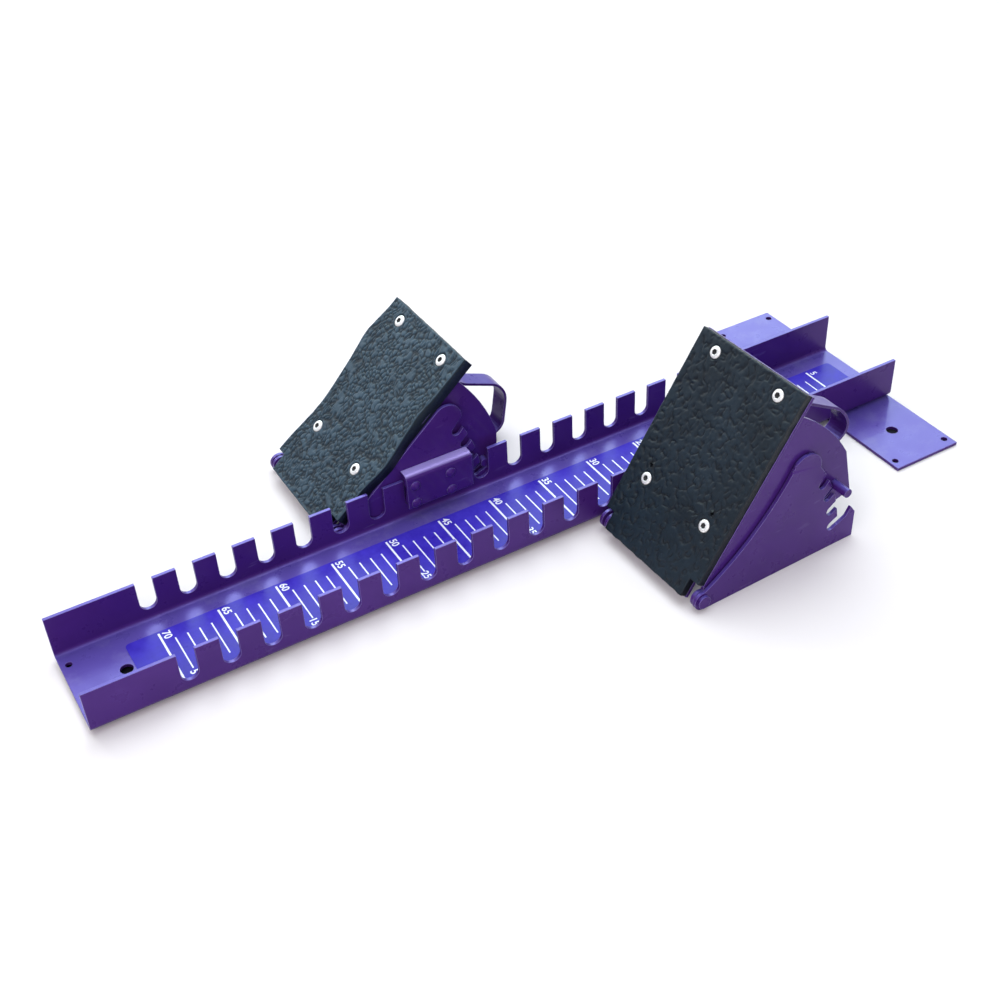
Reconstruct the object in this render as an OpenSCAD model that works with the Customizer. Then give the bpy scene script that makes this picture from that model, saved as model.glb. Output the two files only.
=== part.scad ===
// Sprint starting blocks: a notched rail, a rear anchor plate and two foot blocks with
// four tread angles each. The rail lies along X, the runner leaves towards +X, Z is up,
// and the origin is on the ground under the middle of the rail. Millimetres.

/* [View] */
// Sub-part to draw, or all of them
// Facets of a full circle
$fn = 64; // [32:8:96]

/* [Rail] */
// Length of the folded channel
rail_length = 800; // [650:10:1000]
// Outer width of the channel
rail_width = 98; // [90:1:120]
// Height of the channel's walls from its underside
rail_height = 42; // [36:1:50]
// Thickness of the steel sheet in every folded piece
sheet = 3; // [2:0.5:3]
// Inside radius of the channel's bends
rail_bend = 4; // [2:0.5:6]
// Distance from the rail's front end to the first notch
first_notch = 83; // [60:1:110]
// Distance between notches
notch_pitch = 35; // [32:0.5:40]
// Number of notches in each wall
notch_count = 18; // [15:1:18]
// Width of a notch
notch_width = 15; // [15:0.5:16]
// Height of a notch's round bottom over the channel's underside
notch_floor = 12.5; // [11:0.5:14]
// Diameter of the stake hole behind the rail's front end
front_stake_hole = 11; // [8:0.5:14]
// Distance of that stake hole from the front end
front_stake_inset = 45; // [35:1:60]
// Diameter of the two small front screw holes
front_screw_hole = 6; // [4:0.5:8]
// Distance of these screw holes from the front end
front_screw_inset = 7; // [5:0.5:12]
// Distance of these screw holes from the middle of the rail
front_screw_side = 30; // [20:1:34]

/* [Scale strip] */
// Width of the printed strip on the rail's floor
strip_width = 68; // [56:1:74]
// Distance of the strip's far edge from the middle of the rail
strip_far = 26; // [24:1:32]
// Distance from the front end to the strip
strip_front = 52; // [50:1:70]
// Distance from the rear end to the strip
strip_rear = 14; // [5:1:40]
// Distance from the front end to the first long mark
first_mark = 80; // [70:1:90]
// Distance between long marks
mark_step = 52; // [48:0.5:54]
// Number of long marks, where the strip is long enough for them
mark_count = 13; // [8:1:13]

/* [Anchor plate] */
// Width of the plate under the rail's rear end
plate_width = 276; // [220:2:320]
// Length of the plate along the rail
plate_length = 72; // [60:1:90]
// Diameter of its corner holes
plate_screw_hole = 6; // [4:0.5:8]
// Distance of the corner holes from the plate's front and rear edge
plate_screw_inset = 6; // [5:0.5:12]
// Distance of the corner holes from the plate's ends
plate_screw_end = 10; // [6:0.5:20]
// Diameter of its two stake holes
plate_stake_hole = 11; // [8:0.5:14]
// Distance of the stake holes from the middle of the rail
plate_stake_side = 91; // [75:1:100]

/* [Foot blocks] */
// Notch that holds the left block's front pins
left_notch = 14; // [10:1:15]
// Notch that holds the right block's front pins
right_notch = 8; // [3:1:9]
// Angle setting of the left tread, 1 is the steepest
left_setting = 2; // [2]
// Angle setting of the right tread, 4 is the flattest
right_setting = 4; // [4]
// Turn of the left block in the play of its pins, as it stands in the photograph
left_turn = 2; // [0:0.25:2]
// How far the left block stands out from the rail in that play
left_out = 0.8; // [0:0.1:0.8]
// Slope of a tread in its steepest setting
steepest = 63.5; // [60:0.5:66]
// Slope lost from one setting to the next
setting_step = 7.5; // [7:0.25:8]
// Length of the tread plate, up its slope
tread_length = 194; // [187:1:200]
// Width of a foot block over its two base cheeks
block_width = 132; // [126:1:140]
// Thickness of the rubber pad
pad_thickness = 7.5; // [6:0.5:11]
// Diameter of the hinge pins
hinge_diameter = 8; // [7:0.5:9]
// Diameter of the lock bar
bar_diameter = 8; // [7:0.5:8.5]
// Length of the lock bar past the outer base cheek
bar_reach = 13; // [8:1:16]
// How far the lock bar slides to drop into a slot
bar_travel = 12; // [10:0.5:13]
// Width of the carrying strap
strap_width = 20; // [16:1:26]

/* [Hidden] */

violet = [0.31, 0.2, 0.55];
strip_blue = [0.27, 0.2, 0.85];
rubber = [0.2, 0.25, 0.27];
zinc = [0.82, 0.83, 0.84];

cut = 1;                       // how far a cutter runs past the face that it opens
gap = 0.3;                     // play between pieces of different bodies
run_fit = 0.05;                // radial play of a pin that turns

// Rail
rail_z = sheet;                // the rail lies on the anchor plate
rail_top = rail_z + rail_height;
wall_out = rail_width / 2;
wall_in = wall_out - sheet;
notch_r = notch_width / 2;
notch_z = rail_z + notch_floor;
strip_t = 0.6;
strip_corner = 4;
mark_t = 0.2;
marks_per_step = 5;            // a long mark and the short ones behind it
long_mark = [-23.5, 36];       // far and near end of a long mark across the rail
short_mark = [-12, 31];
long_mark_width = 1.8;
short_mark_width = 1.2;

function notch_x(n) = rail_length / 2 - first_notch - (n - 1) * notch_pitch;

// A foot block is drawn in its own frame: u runs rearward from the hinge, v outward from
// the middle of the rail, and w upward from the hinge's axis.
hinge_w = 9;                   // height of the hinge's axis over the ground
pin_r = notch_r - gap / 2 - 0.25;
pin_head_r = 5;
pin_head_t = 2.5;
pin_u = 72;                    // first pins of the rail hook behind the hinge
pin_w = [notch_z + pin_r + gap - hinge_w, notch_z + pin_r + 19 - hinge_w];
inner_v = wall_out + 0.4;      // rail side of the inner base cheek
outer_v = inner_v + block_width;
hook_v = wall_out - 11;        // rail side of the leg that hangs in the channel
hook_u = [pin_u - 8, pin_u + notch_pitch + 22];
hook_top = rail_top + 9 - hinge_w;
hook_foot = rail_z + 16 - hinge_w;

// Tread frame: x runs up the tread from the hinge's axis, y to the runner's side
plate_y = 1.5;                 // back of the tread plate before the hinge's axis
pad_y = plate_y + sheet;
tread_foot = -6;
tread_v = [inner_v + 2.1, outer_v - sheet - 0.6];
tread_mid = (tread_v[0] + tread_v[1]) / 2;
cheek_inset = [inner_v + sheet + 3.2, outer_v - 2 * sheet - 0.9];
pad_margin = 1.5;               // plate left bare above the pad
corner_cut = [17, 10.5];       // notch in the tread's lower corners, beside the hinge
screw_x = [53.5, 175];
screw_v = 38.5;                // screws to either side of the tread's middle
spare_x = 66;                  // the left tread's two empty holes
spare_v = 40;
spare_r = 2.4;
screw_r = 2.5;
screw_head_r = 5.5;
nut_flats = 8;

bar_r = bar_diameter / 2;
slot_r = bar_r + 0.5;           // slots of the base bracket
guide_r = bar_r + gap;         // slots of the tread's cheeks
bar_out_r = 148.9;             // the bar's distance from the hinge when it is pulled out
bar_lag = 33.7;                // angle from the tread down to the pulled-out bar
bar_lean = 14;                 // angle from the tread down to the bar's way in
tooth_r = bar_out_r - bar_r - 0.4;
far_corner = [200, 120];       // outside the cheeks' round rear edge
sector_r = 170.5;
sector_foot = [162.9, 41.6];   // rear foot of a tread cheek: distance and angle below the tread
sector_bend = 26;              // angle where the cheek's round edge turns straight
ear_r = 8;

function slope(k) = steepest - (k - 1) * setting_step;
function polar(r, a) = r * [cos(a), sin(a)];
function turned(p, a) = [p[0] * cos(a) - p[1] * sin(a), p[0] * sin(a) + p[1] * cos(a)];
bar_out = polar(bar_out_r, -bar_lag);
bar_in = bar_out - polar(bar_travel, -bar_lean);

// Lock slot of the flattest setting, where the outer cheek curls into its end hook
last_out = turned(bar_out, slope(4));
last_way = slope(4) - bar_lean;
function beside_last(along, across) = last_out + turned([along, across], last_way);
cheek_rear = 163.4;
hook_shoulder = 17.3;

// Outline of the raised cheek's front, outside the left tread
hump = [101, 88.5];
hump_r = 15.5;
base_ear_r = 8.5;
toe = [1, -hinge_w];           // where the cheeks' lower edge meets the ground under the hinge
ear_low = [-3, -7];
front_foot = [2, 8.7];
front_head = [86.5, 93];
front_bow = 250;               // radius of the hollow in the front edge
front_span = front_head - front_foot;
front_past = 3 * front_span / norm(front_span);
front_normal = [-front_span[1], front_span[0]] / norm(front_span);
bow_centre = (front_foot + front_head) / 2
    + front_normal * sqrt(pow(front_bow, 2) - pow(norm(front_span) / 2, 2));

// A flat cheek stays behind the wider tread plate in its flattest setting
rest_play = 0.6;
inner_hump_r = 14.5;
inner_hump_x = 138;            // up the flattest tread from the hinge

// Carrying strap, a bent band on the back of the tread plate
strap_t = 2.5;
strap_y = plate_y - strap_t / 2;
strap_head = [[128, strap_y], [152, strap_y]];
strap_tail = [[33.5, strap_y], [13, strap_y]];
left_strap_loop = [[168, -60], [173, -120], [155, -149]];
right_strap_loop = [[166, -55], [188, -97], [150, -129], [110, -96]];
left_strap_bends = [4, 40, 40, 14, 6];
right_strap_bends = [4, 25, 22, 14, 30, 6];

// ---- helpers
module at_hinge(side) {
    is_left = side == "left";
    x = notch_x(is_left ? left_notch : right_notch) + pin_u;
    translate([x, 0, hinge_w])
        if (is_left) translate([-cheek_rear, inner_v + left_out, 0]) rotate([0, 0, left_turn])
            translate([cheek_rear, -inner_v, 0]) mirror([1, 0, 0]) children();
        else rotate([0, 0, 180]) children();
}

module at_tread(side) {
    at_hinge(side) rotate([0, -slope(side == "left" ? left_setting : right_setting), 0]) children();
}

// Stands a profile of the u-w plane up between two values of v
module between(v0, v1) {
    translate([0, v1, 0]) rotate([90, 0, 0]) linear_extrude(v1 - v0) children();
}

// Lays an outline of x and v on the tread, from y0 to y1
module on_tread(y0, y1) {
    translate([0, 0, y0]) linear_extrude(y1 - y0) children();
}

module slot_profile(from, to, r) {
    way = to - from;
    translate(from) rotate(atan2(way[1], way[0])) {
        circle(r);
        translate([norm(way), 0]) circle(r);
        translate([0, -r]) square([norm(way), 2 * r]);
    }
}

// Points of a path with rounded corners, shifted sideways by a distance
function unit(p) = p / norm(p);
function left_of(p) = [-p[1], p[0]];
function bend_points(a, b, c, r, shift) = let(
    d0 = unit(b - a), d1 = unit(c - b),
    turn = atan2(d0[0] * d1[1] - d0[1] * d1[0], d0[0] * d1[0] + d0[1] * d1[1]),
    side = sign(turn),
    start = b - d0 * r * tan(abs(turn) / 2),
    centre = start + left_of(d0) * r * side)
    [for (i = [0:8]) centre - left_of(turned(d0, turn * i / 8)) * side * (r - side * shift)];
function path_side(p, radii, shift) = concat(
    [p[0] + left_of(unit(p[1] - p[0])) * shift],
    [for (i = [1:len(p) - 2]) each bend_points(p[i - 1], p[i], p[i + 1], radii[i - 1], shift)],
    [p[len(p) - 1] + left_of(unit(p[len(p) - 1] - p[len(p) - 2])) * shift]);
function reversed(list) = [for (i = [len(list) - 1:-1:0]) list[i]];

// ---- rail and anchor plate
module channel_profile() {
    outer_bend = rail_bend + sheet;
    difference() {
        union() {
            translate([-wall_out, outer_bend]) square([rail_width, rail_height - outer_bend]);
            translate([-wall_out + outer_bend, 0]) square([rail_width - 2 * outer_bend, outer_bend + cut]);
            for (s = [-1, 1]) translate([s * (wall_out - outer_bend), outer_bend]) circle(outer_bend);
        }
        translate([-wall_in, outer_bend]) square([2 * wall_in, rail_height]);
        translate([-wall_in + rail_bend, sheet]) square([2 * (wall_in - rail_bend), outer_bend]);
        for (s = [-1, 1]) translate([s * (wall_in - rail_bend), outer_bend]) circle(rail_bend);
    }
}

module rail_channel() {
    color(violet) difference() {
        translate([-rail_length / 2, 0, rail_z]) rotate([90, 0, 90])
            linear_extrude(rail_length) channel_profile();
        for (n = [1:notch_count]) translate([notch_x(n), 0, notch_z + notch_r]) {
            translate([0, wall_out + cut, 0]) rotate([90, 0, 0])
                cylinder(h = rail_width + 2 * cut, r = notch_r);
            translate([-notch_r, -wall_out - cut, 0]) cube([notch_width, rail_width + 2 * cut, rail_height]);
        }
        translate([rail_length / 2 - front_stake_inset, 0, rail_z - cut])
            cylinder(h = sheet + 2 * cut, d = front_stake_hole);
        for (s = [-1, 1]) translate([rail_length / 2 - front_screw_inset, s * front_screw_side, rail_z - cut])
            cylinder(h = sheet + 2 * cut, d = front_screw_hole);
    }
}

module scale_strip() {
    length = rail_length - strip_front - strip_rear;
    rear = -rail_length / 2 + strip_rear;
    front_mark = rail_length / 2 - first_mark;
    mark_gap = mark_step / marks_per_step;
    marks_on_strip = floor((front_mark - rear - strip_corner) / mark_gap);
    color(strip_blue) translate([0, 0, rail_z + sheet]) {
        linear_extrude(strip_t) {
            translate([rear + strip_corner, -strip_far])
                square([length - 2 * strip_corner, strip_width]);
            translate([rear, -strip_far + strip_corner])
                square([length, strip_width - 2 * strip_corner]);
            for (x = [strip_corner, length - strip_corner], y = [strip_corner, strip_width - strip_corner])
                translate([rear + x, y - strip_far]) circle(strip_corner);
        }
        // printed marks: each long mark has four short ones behind it
        for (i = [0:min(marks_per_step * mark_count - 1, marks_on_strip)]) {
            is_long = i % marks_per_step == 0;
            side_y = is_long ? long_mark : short_mark;
            wide = is_long ? long_mark_width : short_mark_width;
            translate([front_mark - i * mark_gap - wide / 2, side_y[0], strip_t - 0.1])
                cube([wide, side_y[1] - side_y[0], mark_t + 0.1]);
        }
    }
}

module anchor_plate() {
    rear = -rail_length / 2;
    color(violet) difference() {
        translate([rear, -plate_width / 2, 0]) cube([plate_length, plate_width, sheet]);
        for (s = [-1, 1]) {
            for (x = [plate_screw_inset, plate_length - plate_screw_inset])
                translate([rear + x, s * (plate_width / 2 - plate_screw_end), -cut])
                    cylinder(h = sheet + 2 * cut, d = plate_screw_hole);
            translate([rear + plate_length / 2, s * plate_stake_side, -cut])
                cylinder(h = sheet + 2 * cut, d = plate_stake_hole);
        }
    }
}

// ---- base of a foot block
module lock_slots() {
    for (k = [1:4]) rotate(slope(k))
        slot_profile(bar_in, bar_out + polar(bar_travel, -bar_lean), slot_r);
}

module end_hook() {
    polygon([beside_last(-16, -slot_r - 0.5), beside_last(4, -slot_r - 0.5), beside_last(12, 0),
        [cheek_rear, hook_shoulder], [cheek_rear, -hinge_w], [cheek_rear - 40, -hinge_w]]);
}

module raised_cheek() {
    difference() {
        union() {
            intersection() {
                circle(tooth_r, $fn = 160);
                difference() {
                    polygon([toe, ear_low, front_foot - front_past, front_head + front_past,
                        [hump[0], far_corner[1]], far_corner, [far_corner[0], -hinge_w]]);
                    translate(bow_centre) circle(front_bow, $fn = 240);
                }
            }
            translate(hump) circle(hump_r);
            circle(base_ear_r);
        }
        lock_slots();
    }
    end_hook();
}

module flat_cheek() {
    face = plate_y - rest_play;
    difference() {
        union() {
            intersection() {
                circle(tooth_r, $fn = 160);
                polygon([toe, ear_low, turned([0, face], slope(4)), turned([inner_hump_x, face], slope(4)),
                    far_corner, [far_corner[0], -hinge_w]]);
            }
            rotate(slope(4)) translate([inner_hump_x, face - inner_hump_r]) circle(inner_hump_r);
            circle(base_ear_r);
        }
        lock_slots();
    }
    end_hook();
}

module base_bracket(side) {
    floor_u = [42, 138];
    color(violet) difference() {
        union() {
            between(inner_v, inner_v + sheet) flat_cheek();
            between(outer_v - sheet, outer_v) if (side == "left") raised_cheek(); else flat_cheek();
            translate([floor_u[0], inner_v + sheet / 2, -hinge_w])
                cube([floor_u[1] - floor_u[0], block_width - sheet, sheet]);
        }
        translate([0, outer_v + cut, 0]) rotate([90, 0, 0])
            cylinder(h = block_width + 2 * cut, r = hinge_diameter / 2);
        for (n = [0, 1], w = pin_w) translate([pin_u + n * notch_pitch, inner_v + sheet + cut, w])
            rotate([90, 0, 0]) cylinder(h = sheet + 2 * cut, r = 4);
    }
}

// Angle over the rail's wall, welded to the inner cheek
module rail_hook() {
    bend = 2.5;
    color(violet) translate([hook_u[0], 0, 0]) rotate([90, 0, 90]) difference() {
        linear_extrude(hook_u[1] - hook_u[0]) difference() {
            union() {
                translate([hook_v, hook_foot]) square([sheet, hook_top - hook_foot - bend - sheet]);
                translate([hook_v + sheet + bend, hook_top - sheet])
                    square([inner_v - hook_v - sheet - bend, sheet]);
                translate([hook_v + sheet + bend, hook_top - sheet - bend]) difference() {
                    circle(bend + sheet);
                    circle(bend);
                    translate([0, -10]) square([10, 20]);
                    translate([-10, -10]) square([20, 10]);
                }
            }
        }
        for (n = [0, 1], w = pin_w)
            translate([hook_v - cut, w, pin_u + n * notch_pitch - hook_u[0]]) rotate([0, 90, 0])
                cylinder(h = sheet + 2 * cut, r = 4);
    }
}

// Shouldered rivets that stand in the notches, two in each
module rail_pins() {
    color(violet) for (n = [0, 1], w = pin_w)
        translate([pin_u + n * notch_pitch, 0, w]) rotate([-90, 0, 0]) {
            translate([0, 0, hook_v + sheet]) cylinder(h = inner_v - hook_v - sheet, r = pin_r);
            translate([0, 0, hook_v]) cylinder(h = inner_v + sheet - hook_v, r = 4);
            translate([0, 0, hook_v - pin_head_t]) intersection() {
                cylinder(h = pin_head_t, r = pin_head_r);
                translate([0, 0, 6.25]) sphere(6.25);
            }
            translate([0, 0, inner_v + sheet]) cylinder(h = pin_head_t, r = pin_head_r);
        }
}

// Two short rivets, each through a base cheek and the tread cheek beside it
module hinge_pin() {
    head_r = hinge_diameter / 2 + 2;
    head_t = 1.5;
    inner_end = cheek_inset[0] + sheet + gap;
    outer_end = cheek_inset[1] - gap;
    color(violet) rotate([-90, 0, 0]) {
        translate([0, 0, inner_v]) cylinder(h = inner_end + head_t - inner_v, d = hinge_diameter);
        translate([0, 0, inner_end]) cylinder(h = head_t, r = head_r);
        translate([0, 0, outer_end - head_t])
            cylinder(h = outer_v + head_t - outer_end, d = hinge_diameter);
        translate([0, 0, outer_end - head_t]) cylinder(h = head_t, r = head_r);
        translate([0, 0, outer_v]) cylinder(h = 2.5, r = head_r);
    }
}

// ---- tread of a foot block
module tread_outline(length) {
    difference() {
        translate([tread_foot, tread_v[0]]) square([length, tread_v[1] - tread_v[0]]);
        for (s = [0, 1]) translate([tread_foot - cut, s == 0 ? tread_v[0] - cut : tread_v[1] - corner_cut[1]])
            square([corner_cut[0] + cut, corner_cut[1] + cut]);
    }
}

// Screw holes, and the left tread's two empty ones beside the lower screws
module tread_holes(side) {
    for (x = screw_x, s = [-1, 1]) translate([x, tread_mid + s * screw_v, 0])
        cylinder(h = 60, r = screw_r + 0.25, center = true);
    if (side == "left") for (s = [-1, 1]) translate([spare_x, tread_mid + s * spare_v, 0])
        cylinder(h = 60, r = spare_r, center = true);
}

module sector_cheek() {
    foot = polar(sector_foot[0], -sector_foot[1]);
    bend = polar(sector_r, -sector_bend);
    past_bend = bend + 3 * unit(bend - foot);
    difference() {
        union() {
            intersection() {
                circle(sector_r, $fn = 160);
                polygon([[0, 0], foot, past_bend, [sector_r * 1.3, pad_y - 1], [12, pad_y - 1]]);
            }
            circle(ear_r);
        }
        slot_profile(bar_in, bar_out, guide_r);
    }
}

module tread_plate(side) {
    color(violet) difference() {
        union() {
            on_tread(plate_y, pad_y) tread_outline(tread_length);
            for (v = cheek_inset) between(v, v + sheet) sector_cheek();
        }
        tread_holes(side);
        for (v = cheek_inset) translate([0, v + sheet + cut / 2, 0]) rotate([90, 0, 0])
            cylinder(h = sheet + cut, r = hinge_diameter / 2 + run_fit);
    }
}

module rubber_pad(side) {
    color(rubber) difference() {
        on_tread(pad_y, pad_y + pad_thickness) tread_outline(tread_length - pad_margin);
        tread_holes(side);
        for (x = screw_x, s = [-1, 1])
            translate([x, tread_mid + s * screw_v, pad_y + pad_thickness - 1.5])
                cylinder(h = 3, r = screw_head_r + 0.5);
    }
}

module pad_screws() {
    head_y = pad_y + pad_thickness - 1.5;
    color(zinc) for (x = screw_x, s = [-1, 1]) translate([x, tread_mid + s * screw_v, 0]) difference() {
        union() {
            translate([0, 0, -7]) cylinder(h = head_y + 8, r = screw_r);
            translate([0, 0, head_y]) cylinder(h = 1, r = screw_head_r);
            translate([0, 0, head_y + 1]) cylinder(h = 1.2, r1 = screw_head_r, r2 = 3.8);
        }
        translate([0, 0, head_y + 1]) cylinder(h = 2, r = 1.9, $fn = 6);
    }
}

module pad_nuts() {
    color(zinc) for (x = screw_x, s = [-1, 1]) translate([x, tread_mid + s * screw_v, plate_y - 4.3])
        difference() {
            cylinder(h = 4.3, r = nut_flats / 2 / cos(30), $fn = 6);
            translate([0, 0, -cut]) cylinder(h = 7, r = screw_r + 0.02);
        }
}

module carry_strap(side) {
    loop = side == "left" ? left_strap_loop : right_strap_loop;
    bends = side == "left" ? left_strap_bends : right_strap_bends;
    path = concat(strap_head, loop, strap_tail);
    color(violet) between(tread_mid - strap_width / 2, tread_mid + strap_width / 2)
        polygon(concat(path_side(path, bends, strap_t / 2), reversed(path_side(path, bends, -strap_t / 2))));
}

module lock_bar() {
    color(violet) translate([bar_out[0], inner_v + 0.1, bar_out[1]]) rotate([-90, 0, 0])
        cylinder(h = block_width + bar_reach, r = bar_r);
}

// Push-on rings that keep the lock bar from creeping sideways
module bar_clips() {
    color(zinc) for (v = [cheek_inset[0] + sheet + gap, cheek_inset[1] - gap - 1.2])
        translate([bar_out[0], v, bar_out[1]]) rotate([-90, 0, 0]) difference() {
            cylinder(h = 1.2, r = bar_r + 2.6);
            translate([0, 0, -cut]) cylinder(h = 4, r = bar_r);
        }
}

rail_channel();
scale_strip();
anchor_plate();
at_hinge("left") base_bracket("left");  // left_base_bracket
at_hinge("left") rail_hook();  // left_rail_hook
at_hinge("left") rail_pins();  // left_rail_pins
at_hinge("left") hinge_pin();  // left_hinge_pin
at_tread("left") tread_plate("left");  // left_tread_plate
at_tread("left") rubber_pad("left");  // left_rubber_pad
at_tread("left") pad_screws();  // left_pad_screws
at_tread("left") pad_nuts();  // left_pad_nuts
at_tread("left") carry_strap("left");  // left_carry_strap
at_tread("left") lock_bar();  // left_lock_bar
at_tread("left") bar_clips();  // left_bar_clips
at_hinge("right") base_bracket("right");  // right_base_bracket
at_hinge("right") rail_hook();  // right_rail_hook
at_hinge("right") rail_pins();  // right_rail_pins
at_hinge("right") hinge_pin();  // right_hinge_pin
at_tread("right") tread_plate("right");  // right_tread_plate
at_tread("right") rubber_pad("right");  // right_rubber_pad
at_tread("right") pad_screws();  // right_pad_screws
at_tread("right") pad_nuts();  // right_pad_nuts
at_tread("right") carry_strap("right");  // right_carry_strap
at_tread("right") lock_bar();  // right_lock_bar
at_tread("right") bar_clips();  // right_bar_clips
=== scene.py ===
import math

import bmesh
import bpy
from mathutils import Matrix, Vector, noise


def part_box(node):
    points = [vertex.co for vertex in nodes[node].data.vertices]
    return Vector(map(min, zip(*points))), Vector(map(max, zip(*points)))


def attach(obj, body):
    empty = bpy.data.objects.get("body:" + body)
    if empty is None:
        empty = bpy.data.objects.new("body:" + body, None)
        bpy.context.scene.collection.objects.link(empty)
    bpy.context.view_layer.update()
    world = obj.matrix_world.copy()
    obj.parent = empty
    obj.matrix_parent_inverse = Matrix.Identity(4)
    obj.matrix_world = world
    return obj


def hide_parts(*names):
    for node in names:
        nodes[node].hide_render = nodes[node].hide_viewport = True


# Row frame in metres: +X the way the runner leaves, +Y the runner's left, +Z up.
MM = 0.001
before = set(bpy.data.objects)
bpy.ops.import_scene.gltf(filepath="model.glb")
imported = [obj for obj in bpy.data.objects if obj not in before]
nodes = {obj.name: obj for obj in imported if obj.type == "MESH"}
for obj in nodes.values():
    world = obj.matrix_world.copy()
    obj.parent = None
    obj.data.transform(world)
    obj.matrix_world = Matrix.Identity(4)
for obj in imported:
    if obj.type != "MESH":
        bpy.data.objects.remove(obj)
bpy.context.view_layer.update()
# Without a seed of its own the pads' pattern would differ from run to run
noise.seed_set(7)

# Sizes shared with the CAD part, in millimetres
SIDES = ("left", "right")
SHEET = 3.0
RAIL_Z = 3.0                      # underside of the rail
HINGE_W = 9.0                     # height of the hinges over the ground
HINGE_X = {"left": -66.0, "right": 144.0}
SLOPE = {"left": 56.0, "right": 41.0}
INNER_V = 49.4                    # a foot block's face on the rail's side
BLOCK_WIDTH = 132.0
OUTER_V = INNER_V + BLOCK_WIDTH
CHEEK_REAR = 163.4                # from the hinge back to the rear of the base cheeks
LEFT_TURN = math.radians(2.0)     # the left block stands turned and moved out in its play
LEFT_OUT = 0.8
PLATE_Y = 1.5                     # from the hinge to the back of a tread plate
PAD_Y = PLATE_Y + SHEET
PAD_T = 7.5
PAD_TOP = PAD_Y + PAD_T
PAD_FOOT, PAD_HEAD = -6.0, 188.2
PAD_V = (51.5, 177.8)
PAD_MID = sum(PAD_V) / 2
CORNER = (17.0, 10.5)             # cut out of the pads' lower corners
SCREW_X = (53.5, 175.0)
SCREW_V = 38.5                    # either side of the pad's middle
HEAD_SINK = 1.5                   # from the pad's face down to the seats of the screws' heads
SPARE_X, SPARE_V, SPARE_R = 66.0, 40.0, 2.4   # the left pad's two empty holes


def on_block(side, u, v, w):
    """A point of a foot block (behind the hinge, outward, over the hinge) in the row frame."""
    if side == "right":
        return Vector((HINGE_X[side] - u, -v, HINGE_W + w)) * MM
    # the left block turns about the rear corner of its inner cheek
    corner = Vector((HINGE_X[side] - CHEEK_REAR, INNER_V + LEFT_OUT, 0))
    away = Vector((CHEEK_REAR - u, v - INNER_V, HINGE_W + w))
    return (corner + Matrix.Rotation(LEFT_TURN, 3, "Z") @ away) * MM


def on_tread(side, x, v, y):
    """A point of a tread's own frame (up the slope, outward, off the plate) in the row frame."""
    a = math.radians(SLOPE[side])
    return on_block(side, x * math.cos(a) - y * math.sin(a), v, x * math.sin(a) + y * math.cos(a))


def clamp(t):
    return min(1.0, max(0.0, t))


# Linear colours, in pairs where a surface wanders from one to the other
PAINT = ((0.052, 0.013, 0.150), (0.068, 0.019, 0.188))
THIN_PAINT = (0.36, 0.31, 0.68)
BARE_METAL = (0.40, 0.38, 0.40)
PAINT_SCUFF = (0.30, 0.25, 0.50)
PAINT_DUST = (0.36, 0.35, 0.50)
# painted sheen, mixed onto what faces up
UP_SHEEN = (0.12, 0.095, 0.42)
# painted highlight on what faces up on the hook, stronger than the painted sheen elsewhere
HOOK_UP_HIGHLIGHT = (0.44, 0.36, 0.80)
# one rubber, whose far pad's copy is painted lighter as painted sheen
NEAR_RUBBER = ((0.003, 0.009, 0.016), (0.008, 0.019, 0.031))
FAR_RUBBER_SHEEN = ((0.024, 0.050, 0.074), (0.044, 0.083, 0.116))
# painted shade in the pads' grooves, on their sides, at their outline and round seats and holes
GROOVE_SHADE = (0.003, 0.006, 0.010)
# painted shade along the creases
CREASE_SHADE = (0.004, 0.007, 0.010)
RUBBER_DUST = (0.16, 0.19, 0.20)
PRINT_BLUE = ((0.036, 0.020, 0.37), (0.052, 0.034, 0.48))
PRINT_WHITE = ((0.80, 0.82, 0.90), (0.35, 0.33, 0.8))
PALE_ZINC = ((0.80, 0.80, 0.78), (0.92, 0.92, 0.90))
# painted shade inside the screws' sockets
SOCKET_SHADE = ((0.006, 0.006, 0.007), (0.022, 0.023, 0.024))
FLOOR_WHITE = (0.84, 0.81, 0.78)
# painted shade under the holes
SHADE_BLACK = (0.01, 0.01, 0.015)


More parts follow.
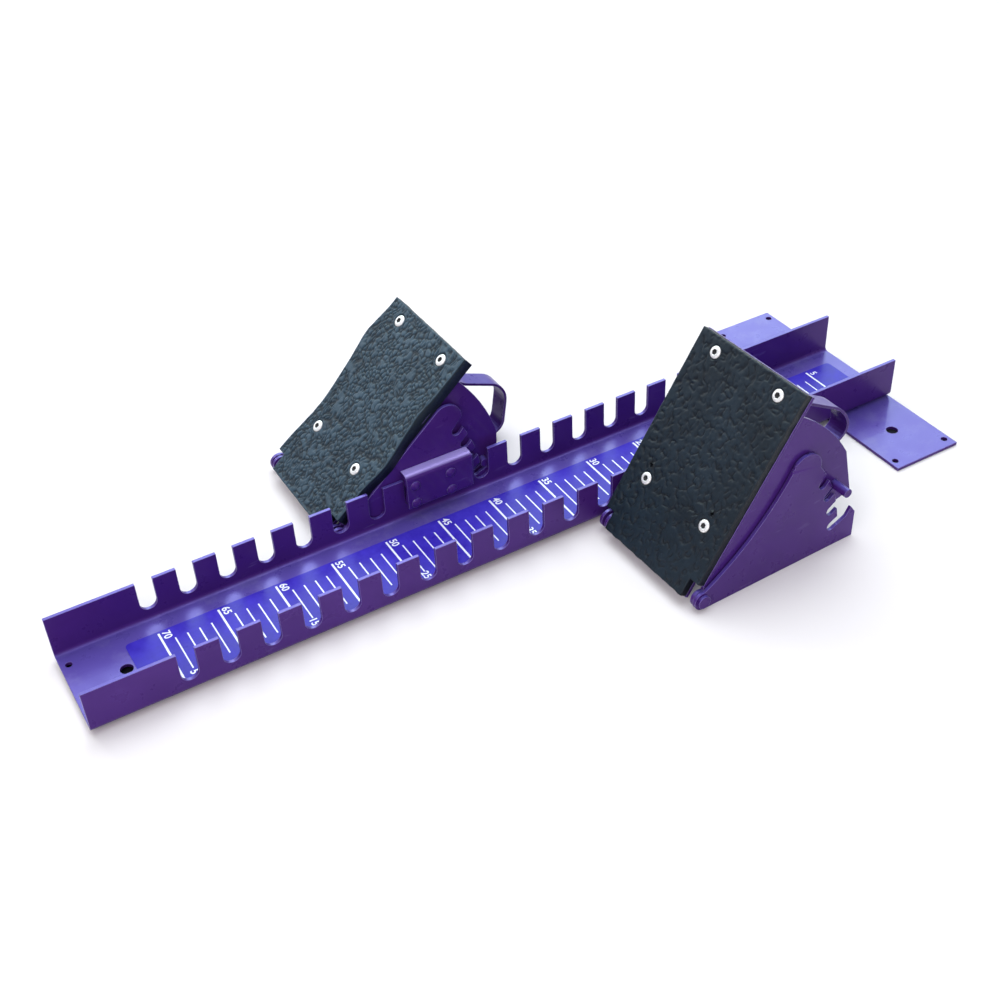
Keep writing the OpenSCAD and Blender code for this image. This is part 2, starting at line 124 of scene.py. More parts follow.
class Nodes:
    """Builds a material's node tree. What flows in it is written as (node, output)."""

    def __init__(self, name):
        self.material = bpy.data.materials.new(name)
        self.material.use_nodes = True
        self.tree = self.material.node_tree
        self.tree.nodes.clear()
        self.shader = self.add("ShaderNodeBsdfPrincipled")
        self.put((self.shader, "BSDF"), self.add("ShaderNodeOutputMaterial"), "Surface")

    def add(self, kind, **values):
        """A new node. Each value goes to a property of that name, or else to a socket."""
        node = self.tree.nodes.new(kind)
        for key, value in values.items():
            if hasattr(node, key):
                setattr(node, key, value)
            else:
                node.inputs[key].default_value = value
        return node

    def put(self, value, node, socket):
        """Link a (node, output) to a socket, or set the socket to a plain number or colour."""
        target = node.inputs[socket]
        if isinstance(value, tuple) and isinstance(value[0], bpy.types.Node):
            self.tree.links.new(value[0].outputs[value[1]], target)
        else:
            target.default_value = (*value, 1.0) if target.type == "RGBA" else value

    def finish(self, color, **sockets):
        """Fill the shader's sockets, with _ for a space in their names."""
        self.put(color, self.shader, "Base Color")
        for name, value in sockets.items():
            self.put(value, self.shader, name.replace("_", " "))
        return self.material

    def local(self):
        """The object's own coordinates, so that a texture moves with its piece."""
        return (self.add("ShaderNodeTexCoord"), "Object")

    def noise(self, scale, detail, rough, space):
        node = self.add("ShaderNodeTexNoise", Scale=scale, Detail=detail, Roughness=rough)
        self.put(space, node, "Vector")
        return (node, 0)

    def ramp(self, value, low, high, start=0.0, end=1.0):
        """Start where the value is low, end where it is high, and even in between."""
        node = self.add("ShaderNodeMapRange")
        for name, limit in (("From Min", low), ("From Max", high), ("To Min", start), ("To Max", end)):
            node.inputs[name].default_value = limit
        self.put(value, node, "Value")
        return (node, "Result")

    def math(self, kind, first, *others):
        """Work out values from left to right by one operation."""
        for other in others:
            node = self.add("ShaderNodeMath", operation=kind)
            self.put(first, node, 0)
            self.put(other, node, 1)
            first = (node, 0)
        return first

    def vectors(self, kind, output, *terms):
        node = self.add("ShaderNodeVectorMath", operation=kind)
        for k, term in enumerate(terms):
            self.put(term, node, k)
        return (node, output)

    def mix(self, factor, a, b):
        """The colour a, and b where the factor is 1."""
        def of_color(sockets, name):
            return [k for k, s in enumerate(sockets) if s.name == name and s.type == "RGBA"][0]

        node = self.add("ShaderNodeMix", data_type="RGBA")
        self.put(factor, node, "Factor")
        self.put(a, node, of_color(node.inputs, "A"))
        self.put(b, node, of_color(node.inputs, "B"))
        return (node, of_color(node.outputs, "Result"))

    def bump(self, height, strength, distance, normal=None):
        node = self.add("ShaderNodeBump", Strength=strength, Distance=distance)
        self.put(height, node, "Height")
        if normal:
            self.put(normal, node, "Normal")
        return (node, "Normal")


def paint_material(name, sheen_tone, sheen_share, coat_rough):
    """Glossy violet powder paint with orange peel, a little dust, scuffs and chipped edges.

    What faces up takes on some of a pale tone, as painted sheen."""
    n = Nodes(name)
    space = n.local()
    base = n.mix(n.ramp(n.noise(9, 3, 0.6, space), 0.35, 0.65), *PAINT)
    # where the surface turns sharply the paint is thin, and in places it is chipped
    soft = (n.add("ShaderNodeBevel", samples=6, Radius=0.0009), "Normal")
    flat = (n.add("ShaderNodeNewGeometry"), "Normal")
    edge = n.ramp(n.vectors("DOT_PRODUCT", "Value", soft, flat), 0.97, 0.80)
    grit = n.ramp(n.noise(210, 5, 0.7, space), 0.56, 0.63)
    patch = n.noise(14, 3, 0.5, space)
    chip = n.math("MULTIPLY", edge, grit, n.ramp(patch, 0.52, 0.6, 0, 0.8))
    edged = n.mix(n.math("MULTIPLY", edge, 0.7), base, THIN_PAINT)
    worn = n.mix(chip, edged, BARE_METAL)
    # long faint scuffs from handling
    stretch = n.add("ShaderNodeMapping", Scale=(1.0, 14.0, 5.0), Rotation=(0.3, 0.5, 0.6))
    n.put(space, stretch, "Vector")
    streaks = n.ramp(n.noise(30, 3, 0.5, (stretch, "Vector")), 0.66, 0.72, 0, 0.15)
    scuffed = n.mix(n.math("MULTIPLY", streaks, n.ramp(patch, 0.42, 0.6)), worn, PAINT_SCUFF)
    # what faces up gets a painted sheen towards a paler tone, and dust settles on it
    facing = n.add("ShaderNodeSeparateXYZ")
    n.put(flat, facing, "Vector")
    up = (facing, "Z")
    sheened = n.mix(n.ramp(up, 0.55, 1.0, 0, sheen_share), scuffed, sheen_tone)
    cloud = n.ramp(n.noise(38, 6, 0.7, space), 0.5, 0.8, 0, 0.22)
    dust = n.math("MULTIPLY", n.ramp(up, 0.5, 1.0), cloud)
    gloss = n.ramp(n.noise(60, 5, 0.6, space), 0.3, 0.7, 0.24, 0.38)
    return n.finish(n.mix(dust, sheened, PAINT_DUST),
                    Roughness=n.math("ADD", gloss, n.math("MULTIPLY", dust, 0.6)),
                    Normal=n.bump(n.noise(420, 2, 0.5, space), 0.06, 0.0004, soft),
                    Metallic=0.15, Specular_IOR_Level=0.12,
                    Coat_Weight=0.13, Coat_Roughness=coat_rough, Coat_IOR=1.55)


def rubber_material(name, tones, crease_share, crease_scale):
    """Embossed rubber: painted shade in the grooves, on the sides and round holes and seats, painted
    shade lines for fine creases, and dust between them.
    """
    n = Nodes(name)
    space = n.local()
    tone = n.noise(26, 5, 0.65, space)
    tops = n.mix(n.ramp(tone, 0.3, 0.7), *tones)
    # the pad's mesh says how much painted shade each point gets: in the grooves, on the sides, at the
    # outline, round the screw seats and the spare holes
    sunk = (n.add("ShaderNodeAttribute", attribute_name="sunk"), "Fac")
    base = n.mix(n.ramp(sunk, 0.15, 0.9, 0, 0.8), tops, GROOVE_SHADE)
    # painted shade lines for creases follow the borders of warped cells, and fade in and out
    warp = (n.noise(70, 3, 0.6, space)[0], "Color")
    cells = n.add("ShaderNodeTexVoronoi", feature="DISTANCE_TO_EDGE", Scale=crease_scale)
    n.put(n.vectors("MULTIPLY_ADD", "Vector", warp, (0.012, 0.012, 0.012), space), cells, "Vector")
    crease = n.math("MULTIPLY", n.ramp((cells, "Distance"), 0.0, 0.10, 1, 0),
                    n.ramp(n.noise(95, 2, 0.5, space), 0.42, 0.58), crease_share)
    creased = n.mix(crease, base, CREASE_SHADE)
    crumb = n.noise(900, 3, 0.6, space)
    dust = n.math("MULTIPLY", n.ramp(crumb, 0.60, 0.75), n.ramp(tone, 0.5, 0.7, 0, 0.25))
    return n.finish(n.mix(dust, creased, RUBBER_DUST),
                    Roughness=n.ramp(crumb, 0.3, 0.7, 0.42, 0.62),
                    Normal=n.bump(crumb, 0.25, 0.0003), Specular_IOR_Level=0.28)


def strip_material():
    """Printed plastic film under clear gloss, a little wavy and clouded."""
    n = Nodes("blue_print")
    space = n.local()
    tone = n.noise(70, 4, 0.6, space)
    return n.finish(n.mix(n.ramp(tone, 0.35, 0.7), *PRINT_BLUE),
                    Roughness=n.ramp(tone, 0.3, 0.7, 0.26, 0.42),
                    Normal=n.bump(n.noise(160, 3, 0.5, space), 0.10, 0.0004),
                    Specular_IOR_Level=0.1)


def white_print_material():
    """White print, rubbed thin in specks so that the blue shows through."""
    n = Nodes("white_print")
    worn = n.noise(500, 5, 0.75, n.local())
    return n.finish(n.mix(n.ramp(worn, 0.62, 0.72, 0, 0.7), *PRINT_WHITE),
                    Roughness=n.ramp(worn, 0.3, 0.7, 0.3, 0.5))


def zinc_material():
    """Pale zinc plating with a fine mottled grain."""
    n = Nodes("bright_zinc_plate")
    tone = n.noise(800, 4, 0.6, n.local())
    soft = (n.add("ShaderNodeBevel", samples=4, Radius=0.0003), "Normal")
    return n.finish(n.mix(n.ramp(tone, 0.3, 0.7), *PALE_ZINC),
                    Roughness=n.ramp(tone, 0.3, 0.7, 0.3, 0.5),
                    Normal=n.bump(tone, 0.2, 0.0002, soft), Metallic=0.4)


def socket_material():
    """Dull metal, near-black with painted shade, inside the screws' sockets."""
    n = Nodes("screw_socket")
    tone = n.noise(900, 3, 0.6, n.local())
    return n.finish(n.mix(n.ramp(tone, 0.3, 0.7), *SOCKET_SHADE),
                    Roughness=n.ramp(tone, 0.3, 0.7, 0.5, 0.7),
                    Normal=n.bump(tone, 0.3, 0.0002))


# the second argument is the tone of the painted sheen on what faces up
VIOLET = paint_material("violet_paint", UP_SHEEN, 0.7, 0.05)
# the hook's copy of the paint has a strong painted highlight on what faces up
HOOK_VIOLET = paint_material("highlighted_violet_paint", HOOK_UP_HIGHLIGHT, 0.9, 0.05)
RAIL_VIOLET = paint_material("dull_violet_paint", UP_SHEEN, 0.7, 0.3)
# the far pad's copy of the rubber is painted lighter, a painted sheen
RUBBER = {"left": rubber_material("near_rubber", NEAR_RUBBER, 0.55, 150),
          "right": rubber_material("far_rubber_sheen", FAR_RUBBER_SHEEN, 0.4, 210)}
BLUE = strip_material()
WHITE = white_print_material()
ZINC = zinc_material()
SOCKET = socket_material()


def dress(obj, material):
    obj.data.materials.clear()
    obj.data.materials.append(material)


def finish_of(name):
    if name.endswith(("pad_screws", "pad_nuts", "bar_clips")):
        return ZINC
    if name.endswith("rail_hook"):
        return HOOK_VIOLET
    return RAIL_VIOLET if name == "rail_channel" else VIOLET


for name, obj in nodes.items():
    dress(obj, finish_of(name))


def link_object(name, data):
    obj = bpy.data.objects.new(name, data)
    bpy.context.scene.collection.objects.link(obj)
    return obj


def new_object(name, bm, material, body, smooth=True):
    mesh = bpy.data.meshes.new(name)
    mesh.materials.append(material)
    bmesh.ops.recalc_face_normals(bm, faces=bm.faces)
    bm.to_mesh(mesh)
    bm.free()
    for face in mesh.polygons:
        face.use_smooth = smooth
    obj = link_object(name, mesh)
    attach(obj, body)
    return obj


def evaluated_mesh(obj):
    """A new mesh of an object as its modifiers or its curve leave it."""
    depsgraph = bpy.context.evaluated_depsgraph_get()
    return bpy.data.meshes.new_from_object(obj.evaluated_get(depsgraph))


# The left block's raised cheek ends in a round hump, over which its solid keeps a point
HUMP, HUMP_R = (101.0, 88.5), 15.5
HUMP_ARC = range(163, 58, -3)     # degrees, from its front over its top
POINT_FRONT, POINT_REAR, POINT_TOP = 78.0, 112.0, 125.0
CUT_IN, CUT_OUT = 0.7, 1.0        # how far the cut goes past the sheet's two faces
SHARP_EDGE = math.radians(25)


def rounded_hump():
    """The left base bracket with what stands over the hump's round top cut away."""
    arc = [math.radians(a) for a in HUMP_ARC]
    outline = [(HUMP[0] + HUMP_R * math.cos(a), HUMP[1] + HUMP_R * math.sin(a)) for a in arc]
    outline += [(POINT_REAR, POINT_TOP), (POINT_FRONT, POINT_TOP), (POINT_FRONT, outline[0][1])]
    bm = bmesh.new()
    near, far = [[bm.verts.new(on_block("left", u, v, w)) for u, w in outline]
                 for v in (OUTER_V - SHEET - CUT_IN, OUTER_V + CUT_OUT)]
    bm.faces.new(near)
    bm.faces.new(list(reversed(far)))
    for k in range(len(outline)):
        after = (k + 1) % len(outline)
        bm.faces.new((near[k], near[after], far[after], far[k]))
    bmesh.ops.recalc_face_normals(bm, faces=bm.faces)
    cutter = link_object("hump_cutter", bpy.data.meshes.new("hump_cutter"))
    bm.to_mesh(cutter.data)
    bm.free()
    obj = link_object("left_base_cheeks", nodes["left_base_bracket"].data.copy())
    trim = obj.modifiers.new("trim", "BOOLEAN")
    trim.object, trim.operation, trim.solver = cutter, "DIFFERENCE", "EXACT"
    trimmed = evaluated_mesh(obj)
    trimmed.set_sharp_from_angle(angle=SHARP_EDGE)
    obj.modifiers.clear()
    obj.data = trimmed
    bpy.data.objects.remove(cutter)
    dress(obj, VIOLET)
    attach(obj, "left_base")
    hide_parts("left_base_bracket")


rounded_hump()

# Rubber pads
GRID = 0.8
EDGE_STEPS = (0.0, 0.35, 0.9, 1.6, 2.4)   # extra grid lines beside the pads' edges
SEAT_R, SEAT_DEPTH = 6.3, 1.2             # sunk ring round each screw
RIM_WIDTH, RIM_DEPTH = 1.4, 0.8           # rounding of the upper edges
RELIEF_FADE = 2.2                         # from the outline to the full relief
SEAT_FADE, SHIFT_FADE = 2.0, 6.0          # from a screw's seat to the full relief and edge shift
WEAR_SPAN, HEAD_WEAR = 8, 0.35            # unevenness of the upper edge
FOOT_WEAR = {"left": 0.8, "right": 0.3}   # and of the lower one
OVERHANG = {"left": 0.0, "right": 1.6}    # past the pad's straight upper edge
LIP_V, LIP_Y = PAD_V[0] - 0.8, PLATE_Y + 0.6   # lower edge of the far pad on the rail side
UNDER_GAP = 0.02                          # between a pad and its plate
RAGGED_SPAN, RAGGED = 9, 0.4              # unevenness of the long edges
# The far pad's long edges swing out and in: how far, where up the tread, and over what length
OUTER_SWINGS = ((5.0, 148, 20), (-6.8, 72, 38))
INNER_SWINGS = ((2.2, 128, 14), (-4.6, 76, 22))
# Round a spare hole, in its radii: grid points that go to its rim, its open middle and its halo of
# painted shade
ON_RIM = (0.55, 1.5)
HOLE_OPEN = 0.8
HOLE_SHADE = 2.2

# Embossed pattern: size of a cobble, its depth, the share of it that slopes into the groove,
# how unbroken the grooves are, and how far the cobbles are pulled about
LOOK = {"left": dict(cell=7.2, depth=1.3, groove=0.34, whole=0.40, warp=4.0, seed=3.1),
        "right": dict(cell=5.4, depth=1.4, groove=0.42, whole=1.1, warp=3.0, seed=8.4)}
COBBLE_ASPECT = 0.75
WARP_SPAN, BREAK_SPAN, SWELL_SPAN = 11, 6, 3.5
SWELL = 0.25


def ruled(low, high, stops):
    """Grid lines between two limits, fine beside the limits and beside each stop."""
    lines = set()
    for stop in (low, high, *stops):
        for step in EDGE_STEPS:
            for s in (-1, 1):
                if low <= stop + s * step <= high:
                    lines.add(round(stop + s * step, 3))
    edges = sorted(lines)
    filled = [edges[0]]
    for b in edges[1:]:
        a = filled[-1]
        parts = max(1, round((b - a) / GRID))
        filled += [a + (b - a) * k / parts for k in range(1, parts + 1)]
    return filled


def edge_distance(x, v):
    """Distance from a point of the pad to its outline, with the two lower corners cut out."""
    notch_x = PAD_FOOT + CORNER[0]
    notch_v = (PAD_V[0] + CORNER[1], PAD_V[1] - CORNER[1])
    d = min(x - PAD_FOOT, PAD_HEAD - x, v - PAD_V[0], PAD_V[1] - v)
    if x <= notch_x:
        return min(d, v - notch_v[0], notch_v[1] - v)
    if not notch_v[0] <= v <= notch_v[1]:
        return min(d, x - notch_x)
    return min(d, *(math.hypot(x - notch_x, v - c) for c in notch_v))


def relief(side, x, v):
    """Depth under the pad's face of its embossed pattern: cobbles between broken grooves."""
    look = LOOK[side]
    cell, seed = look["cell"], look["seed"]
    bend = noise.noise_vector(Vector((x / WARP_SPAN, v / WARP_SPAN, seed))) * look["warp"]
    place = Vector(((x + bend.x) / cell, (v + bend.y) / (cell * COBBLE_ASPECT), seed * 3.7))
    near = noise.voronoi(place)[0]
    border = min(1.0, (near[1] - near[0]) / look["groove"])
    gaps = noise.noise(Vector((x / BREAK_SPAN, v / BREAK_SPAN, seed + 9)))
    groove = look["depth"] * (1 - border) ** 1.5 * clamp(look["whole"] + 1.9 * gaps)
    wave = noise.noise(Vector((x / SWELL_SPAN, v / SWELL_SPAN, seed + 5)))
    return (groove + SWELL * (0.5 + 0.5 * wave)) * clamp(edge_distance(x, v) / RELIEF_FADE)


def swing(x, swings):
    return sum(out * math.exp(-((x - middle) / width) ** 2) for out, middle, width in swings)


def edge_shift(side, x, across):
    """Sideways shift of the pad's cut edges: across is 0 at the rail side, 1 at the outer one."""
    place = Vector((x / RAGGED_SPAN, LOOK[side]["seed"], 40 * round(across)))
    ragged = RAGGED * noise.noise(place) - RAGGED
    if side == "left":
        return ragged * (across ** 6 - (1 - across) ** 6)
    outer = swing(x, OUTER_SWINGS) + ragged
    inner = swing(x, INNER_SWINGS) - ragged
    return outer * across ** 2 + inner * (1 - across) ** 2


def pad_point(side, x, v, holes, screws):
    """Where a grid point of the pad's face lies in the tread's frame, and how much painted shade it gets.
    """
    from_edge = edge_distance(x, v)
    from_screw = min(math.hypot(x - sx, v - sv) for sx, sv in screws)
    pattern = relief(side, x, v) * clamp((from_screw - SEAT_R) / SEAT_FADE)
    sunk = RIM_DEPTH * (1 - clamp(from_edge / RIM_WIDTH)) ** 2 + pattern
    if from_screw < SEAT_R:
        sunk += SEAT_DEPTH
    across = (v - PAD_V[0]) / (PAD_V[1] - PAD_V[0])
    reach = (x - PAD_FOOT) / (PAD_HEAD - PAD_FOOT)
    uneven = noise.noise(Vector((v / WEAR_SPAN, LOOK[side]["seed"], 7)))
    px = x + HEAD_WEAR * (uneven - 1) * reach ** 4
    px += FOOT_WEAR[side] * (uneven + 1) * (1 - reach) ** 12
    px += OVERHANG[side] * clamp((reach - 0.5) / 0.5) ** 8
    pv = v + edge_shift(side, x, across) * clamp((from_screw - SEAT_R) / SHIFT_FADE)
    for hx, hv in holes:
        away = math.hypot(px - hx, pv - hv)
        if ON_RIM[0] * SPARE_R < away < ON_RIM[1] * SPARE_R:
            px, pv = hx + (px - hx) * SPARE_R / away, hv + (pv - hv) * SPARE_R / away
    # painted shade in the grooves by their depth, and a ring of painted shadow round each screw's seat
    shades = [pattern / LOOK[side]["depth"], clamp((SEAT_R + 0.4 - from_screw) / 0.5)]
    # a halo of painted shade round each spare hole
    shades += [min(1, HOLE_SHADE - math.hypot(px - hx, pv - hv) / SPARE_R) for hx, hv in holes]
    # painted shade along the pad's outline
    if from_edge < 0.05:
        shades.append(1)
    return (px, pv, PAD_TOP - sunk), max(shades)


def pad_face(side, bm, shade_layer):
    """The pad's upper face, with the spare holes left open. Gives its points on the rail side."""
    xs = ruled(PAD_FOOT, PAD_HEAD, (PAD_FOOT + CORNER[0],))
    vs = ruled(PAD_V[0], PAD_V[1], (PAD_V[0] + CORNER[1], PAD_V[1] - CORNER[1]))
    holes = [(SPARE_X, PAD_MID + s * SPARE_V) for s in (-1, 1)] if side == "left" else []
    screws = [(x, PAD_MID + s * SCREW_V) for x in SCREW_X for s in (-1, 1)]
    grid = {}
    for i, x in enumerate(xs):
        for j, v in enumerate(vs):
            if edge_distance(x, v) > -1e-6:
                place, shade = pad_point(side, x, v, holes, screws)
                grid[i, j] = bm.verts.new(place)
                grid[i, j][shade_layer] = shade
    for i in range(len(xs) - 1):
        for j in range(len(vs) - 1):
            corners = [grid.get(k) for k in ((i, j), (i + 1, j), (i + 1, j + 1), (i, j + 1))]
            if None in corners:
                continue
            middle = sum((c.co for c in corners), Vector()) / 4
            if all(math.hypot(middle.x - hx, middle.y - hv) > SPARE_R * HOLE_OPEN for hx, hv in holes):
                bm.faces.new(corners)
    bmesh.ops.delete(bm, geom=[v for v in bm.verts if not v.link_faces], context="VERTS")
    return [grid[i, 0] for i in range(len(xs)) if (i, 0) in grid and grid[i, 0].is_valid]


def make_pad(side):
    bm = bmesh.new()
    # this layer holds how much painted shade each point gets
    shade_layer = bm.verts.layers.float.new("sunk")
    rail_side = pad_face(side, bm, shade_layer)
    under = bmesh.ops.duplicate(bm, geom=list(bm.faces))
    pairs = under["vert_map"]
    # the underside gets full painted shade, which paints the pad's sides dark
    for v in (g for g in under["geom"] if isinstance(g, bmesh.types.BMVert)):
        v.co.z = PAD_Y + UNDER_GAP
        v[shade_layer] = 1.0
    for e in [e for e in bm.edges if e.is_boundary and e.verts[0].co.z > PAD_Y + 1]:
        a, b = e.verts
        bm.faces.new((a, b, pairs[b], pairs[a]))
        e.smooth = False
    if side == "right":
        # on the rail side the rubber hangs over the plate's edge
        for v in rail_side:
            low = pairs[v]
            low.co.y, low.co.z = min(low.co.y, LIP_V), LIP_Y
    for v in bm.verts:
        v.co = on_tread(side, *v.co)
    obj = new_object(side + "_pad_surface", bm, RUBBER[side], side + "_tread")
    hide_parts(side + "_rubber_pad")


for side in SIDES:
    make_pad(side)

# Scale strip
STRIP_X = (-386.0, 348.0)
STRIP_Y = (-26.0, 42.0)
STRIP_CORNER, CORNER_STEPS = 4.0, 8
FILM_Z = RAIL_Z + SHEET
FILM_TOP = FILM_Z + 0.55
FILM_GAP = 0.02                           # between the film and the rail's floor
PRINT_DEPTH, PRINT_HEIGHT = 0.05, 0.06    # of the marks, under and over the film's face
FIRST_MARK = 320.0                        # the front long mark
MARK_STEP = 52.0
MARKS = 14                                # long ones
DIVISIONS = 5                             # units from one long mark to the next
LONG_MARK, LONG_WIDTH = (-23.5, 36.0), 1.8
SHORT_MARK, SHORT_WIDTH = (-12.0, 28.5), 1.2
FIGURE_SIZE = 9.4
FIGURE_WEIGHT = 0.18                      # how much bolder the numbers are than their font
FAR_FIGURE = (-5.6, -19.0)                # beside the far end of a long mark
NEAR_FIGURE = (1 - MARK_STEP / DIVISIONS, 33.0)


def rounded_strip():
    bm = bmesh.new()
    r = STRIP_CORNER
    (x0, x1), (y0, y1) = STRIP_X, STRIP_Y
    outline = []
    for cx, cy, start in ((x1 - r, y1 - r, 0), (x0 + r, y1 - r, 90),
                          (x0 + r, y0 + r, 180), (x1 - r, y0 + r, 270)):
        for k in range(CORNER_STEPS + 1):
            a = math.radians(start + 90 * k / CORNER_STEPS)
            outline.append((cx + r * math.cos(a), cy + r * math.sin(a)))
    face = bm.faces.new([bm.verts.new((x * MM, y * MM, (FILM_Z + FILM_GAP) * MM)) for x, y in outline])
    raised = bmesh.ops.extrude_face_region(bm, geom=[face])
    for v in raised["geom"]:
        if isinstance(v, bmesh.types.BMVert):
            v.co.z = FILM_TOP * MM
    obj = new_object("scale_strip_film", bm, BLUE, "rail", smooth=False)
    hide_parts("scale_strip")


def print_box(bm, x0, x1, y0, y1):
    corners = [bm.verts.new((x * MM, y * MM, z * MM))
               for z in (FILM_TOP - PRINT_DEPTH, FILM_TOP + PRINT_HEIGHT)
               for x, y in ((x0, y0), (x1, y0), (x1, y1), (x0, y1))]
    for k in range(4):
        bm.faces.new((corners[k], corners[(k + 1) % 4], corners[4 + (k + 1) % 4], corners[4 + k]))
    bm.faces.new(corners[4:])


def scale_marks():
    bm = bmesh.new()
    for k in range((MARKS - 1) * DIVISIONS + 1):
        x = FIRST_MARK - k * MARK_STEP / DIVISIONS
        is_long = k % DIVISIONS == 0
        half = (LONG_WIDTH if is_long else SHORT_WIDTH) / 2
        print_box(bm, x - half, x + half, *(LONG_MARK if is_long else SHORT_MARK))
    obj = new_object("scale_marks", bm, WHITE, "rail", smooth=False)


def number(text, x, y):
    """Mesh of a printed number, read from the side."""
    curve = bpy.data.curves.new("figure_" + text, "FONT")
    curve.body = text
    curve.size = FIGURE_SIZE * MM
    curve.align_x = "CENTER"
    curve.align_y = "CENTER"
    curve.extrude = 0.04 * MM
    curve.offset = FIGURE_WEIGHT * MM
    obj = link_object("figure", curve)
    obj.matrix_world = (Matrix.Translation(Vector((x, y, FILM_TOP + 0.02)) * MM)
                        @ Matrix.Rotation(math.radians(90), 4, "Z"))
    bpy.context.view_layer.update()
    mesh = evaluated_mesh(obj)
    mesh.transform(obj.matrix_world)
    bpy.data.objects.remove(obj)
    return mesh


def scale_numbers():
    bm = bmesh.new()
    for k in range(MARKS):
        x = FIRST_MARK - k * MARK_STEP
        for count, (dx, y) in ((MARKS - k, FAR_FIGURE), (k + 1, NEAR_FIGURE)):
            mesh = number(str(DIVISIONS * count), x + dx, y)
            bm.from_mesh(mesh)
            bpy.data.meshes.remove(mesh)
    obj = new_object("scale_numbers", bm, WHITE, "rail", smooth=False)


rounded_strip()
scale_marks()
scale_numbers()

# Screws. Their heights count from the seat of the head
HEAD_SEAT = PAD_TOP - HEAD_SINK
SHANK_R = 2.5
SHANK_END = -7.0 - HEAD_SEAT
SHANK_CHAMFER = 0.6
# Radius and height of each ring up the low button head and over its top to the socket
HEAD_RINGS = [(5.5, 0.0), (5.5, 0.8), (5.3, 1.15), (4.7, 1.6), (3.8, 1.9), (3.1, 2.05), (2.75, 2.08)]
SOCKET_FLATS = 4.6
SOCKET_TOP, SOCKET_FLOOR = 2.02, 0.7
RING_STEPS = 36


def screw(bm, side, x, v, turn):
    """Screw with a low button head: rings from the shank's end to the socket's floor."""
    rings = [(SHANK_R - SHANK_CHAMFER, SHANK_END), (SHANK_R, SHANK_END + SHANK_CHAMFER), (SHANK_R, 0.0)]
    rings += HEAD_RINGS
    angles = [360 * k / RING_STEPS for k in range(RING_STEPS)]
    loops = [[(r, a, y) for a in angles] for r, y in rings]
    for y in (SOCKET_TOP, SOCKET_FLOOR):
        loops.append([(SOCKET_FLATS / 2 / math.cos(math.radians(a % 60 - 30)), a, y) for a in angles])
    made = []
    for loop in loops:
        turned = [(r, math.radians(a) + turn, HEAD_SEAT + y) for r, a, y in loop]
        made.append([bm.verts.new(on_tread(side, x + r * math.cos(a), v + r * math.sin(a), y))
                     for r, a, y in turned])
    for ring, (low, high) in enumerate(zip(made, made[1:])):
        for k in range(RING_STEPS):
            after = (k + 1) % RING_STEPS
            face = bm.faces.new((low[k], low[after], high[after], high[k]))
            face.material_index = int(ring >= len(rings))
    bm.faces.new(made[-1]).material_index = 1
    bm.faces.new(list(reversed(made[0])))


def screws(side):
    bm = bmesh.new()
    for k, x in enumerate(SCREW_X):
        for s in (-1, 1):
            screw(bm, side, x, PAD_MID + s * SCREW_V, 0.4 * k + 0.9 * s)
    obj = new_object(side + "_button_heads", bm, ZINC, side + "_tread")
    # the second slot paints shade into the sockets
    obj.data.materials.append(SOCKET)
    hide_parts(side + "_pad_screws")


for side in SIDES:
    screws(side)


# Floor, light and camera, in metres
FLOOR_Z, CARD_Z = -0.0004, -0.0002
FLOOR_REACH = (-8, 8)
CARD_INSET, WALL_INSET = 0.002, 0.012
FRONT_CARD = 0.08                         # length of the card under the rail's front end


def flat_stage(name, z, x_range, y_range, color):
    (x0, x1), (y0, y1) = x_range, y_range
    mesh = bpy.data.meshes.new(name)
    mesh.from_pydata([(x0, y0, z), (x1, y0, z), (x1, y1, z), (x0, y1, z)], [], [(0, 1, 2, 3)])
    obj = link_object(name, mesh)
    dress(obj, Nodes(name).finish(color, Roughness=0.9, Specular_IOR_Level=0.1))


def shade_card(name, x_range, y_range):
    """A near-black card on the floor, painted shade that makes the holes over it look dark."""
    flat_stage(name, CARD_Z, x_range, y_range, SHADE_BLACK)


def area_light(name, place, target, size, watts, tint=(1, 1, 1)):
    light = bpy.data.lights.new(name, "AREA")
    light.shape = "RECTANGLE"
    light.size, light.size_y = size
    light.energy = watts
    light.color = tint
    obj = link_object(name, light)
    obj.location = place
    obj.rotation_euler = (Vector(target) - Vector(place)).to_track_quat("-Z", "Y").to_euler()
    return obj


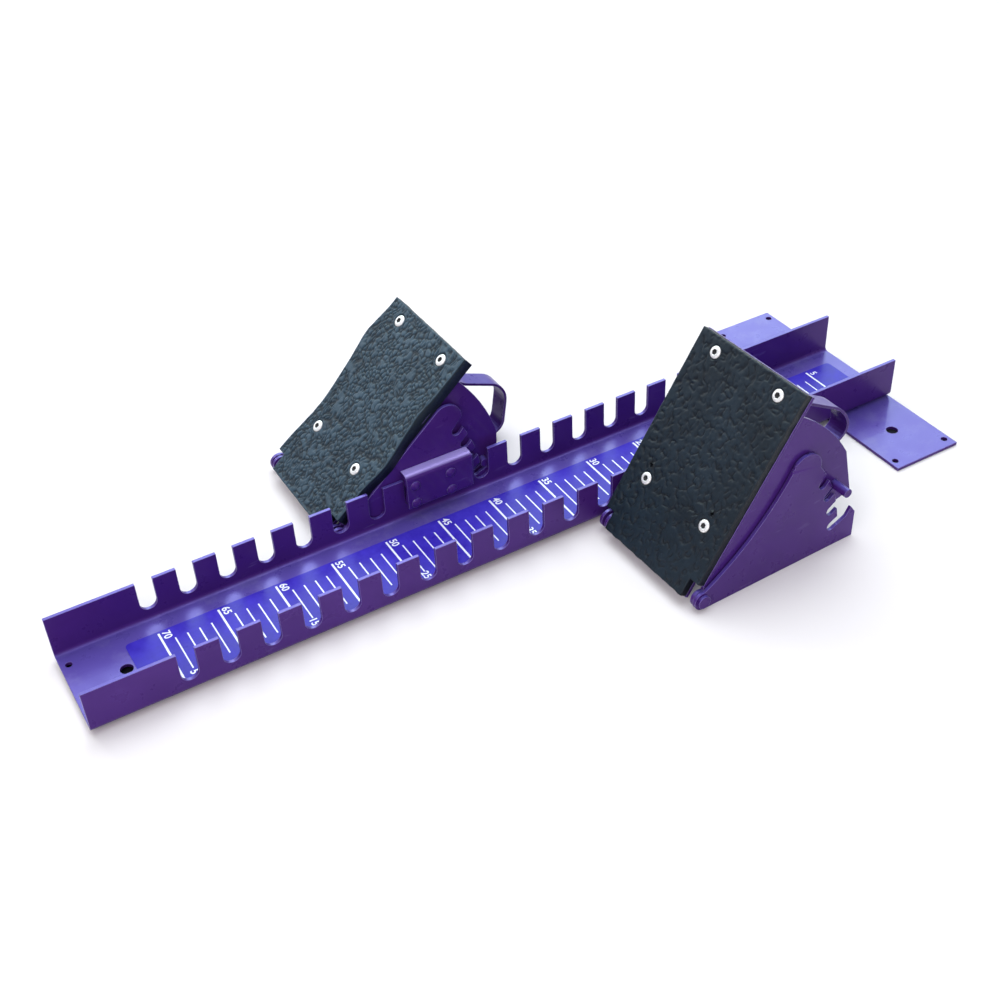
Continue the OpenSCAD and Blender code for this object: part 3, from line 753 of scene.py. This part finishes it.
flat_stage("pale_floor", FLOOR_Z, FLOOR_REACH, FLOOR_REACH, FLOOR_WHITE)
plate_low, plate_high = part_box("anchor_plate")
rail_low, rail_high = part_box("rail_channel")
# near-black cards under the plate and the rail's front end, painted shade seen through the holes
shade_card("rear_hole_shade_card", (plate_low[0] + CARD_INSET, plate_high[0] - CARD_INSET),
          (plate_low[1] + CARD_INSET, plate_high[1] - CARD_INSET))
shade_card("front_hole_shade_card", (rail_high[0] - FRONT_CARD, rail_high[0] - CARD_INSET),
          (rail_low[1] + WALL_INSET, rail_high[1] - WALL_INSET))

area_light("sky_panel", place=(-0.5, -0.6, 2.2), target=(0, 0, 0),
           size=(2.6, 2.6), watts=62, tint=(0.86, 0.92, 1.0))
area_light("front_panel", place=(1.6, 1.5, 1.5), target=(0, 0, 0.05),
           size=(1.6, 1.2), watts=25, tint=(1.0, 0.88, 0.92))
# a smaller lamp low on the far side, which brings out the pads' relief
area_light("side_lamp", place=(0.75, -1.7, 0.85), target=(0, 0, 0.05), size=(0.5, 0.5), watts=7)
# a blue card opposite the camera, which only the glossy surfaces see
card = area_light("blue_card", place=(-1.35, -2.45, 2.15), target=(0, 0, 0),
                  size=(3.4, 2.4), watts=178, tint=(0.57, 0.79, 0.72))
card.visible_diffuse = False
card.visible_camera = False

world = bpy.data.worlds.new("studio")
bpy.context.scene.world = world
world.use_nodes = True
background = world.node_tree.nodes["Background"]
background.inputs["Color"].default_value = (0.86, 0.91, 1.0, 1)
background.inputs["Strength"].default_value = 0.55

# The photograph's camera, fitted to the rail and both blocks
CAMERA_AT = (0.47418, 0.84938, 0.80766)
YAW, PITCH, ROLL = (math.radians(a) for a in (241.37, -38.61, -3.05))
LENS, SENSOR = 51.14, 36
SHIFT = (0.0012, -0.0094)


def camera():
    level = Vector((math.sin(YAW), -math.cos(YAW), 0))
    forward = Vector((math.cos(YAW) * math.cos(PITCH), math.sin(YAW) * math.cos(PITCH), math.sin(PITCH)))
    upright = level.cross(forward)
    right = level * math.cos(ROLL) + upright * math.sin(ROLL)
    up = upright * math.cos(ROLL) - level * math.sin(ROLL)
    data = bpy.data.cameras.new("camera")
    data.lens, data.sensor_width = LENS, SENSOR
    data.shift_x, data.shift_y = SHIFT
    obj = link_object("camera", data)
    obj.matrix_world = Matrix.Translation(CAMERA_AT) @ Matrix((right, up, -forward)).transposed().to_4x4()
    bpy.context.scene.camera = obj


camera()
bpy.context.scene.view_settings.view_transform = "Standard"
